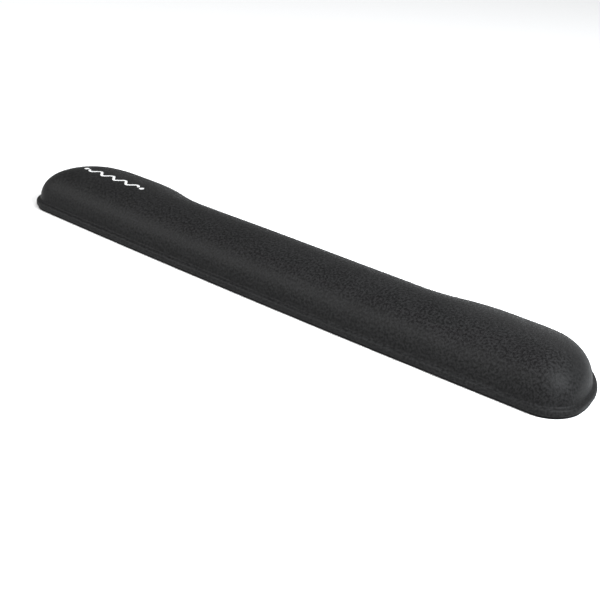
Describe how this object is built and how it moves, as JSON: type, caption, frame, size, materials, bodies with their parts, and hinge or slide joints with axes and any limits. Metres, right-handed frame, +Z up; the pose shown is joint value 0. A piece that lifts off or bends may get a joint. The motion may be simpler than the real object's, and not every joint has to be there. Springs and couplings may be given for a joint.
{
  "type": "keyboard wrist rest",
  "caption": "Long low foam wrist rest for a keyboard, skinned in black stretch fabric on a board with a non-slip rubber underside.",
  "frame": {"origin": "centre of the footprint on the plane the rest stands on", "axes": "+X along the keyboard, +Y towards the person typing (the edge that is drawn in along its middle), +Z up from the desk"},
  "size_m": [0.47, 0.0794, 0.0301],
  "materials": {
    "rubber": "matte non-slip sheet with shallow round grip cups",
    "adhesive": "translucent hot-melt glue film",
    "board": "plain moulded board, fine texture",
    "foam": "open-cell slow-recovery polyurethane foam with a moulded skin",
    "knit": "fine matte stretch knit",
    "ink": "white screen print"
  },
  "bodies": {
    "root": {"rubber_base": "rubber", "base_adhesive": "adhesive", "base_board": "board", "hem_adhesive": "adhesive", "core_adhesive": "adhesive", "foam_core": "foam", "fabric_cover": "knit", "printed_mark": "ink"}
  },
  "joints": []
}
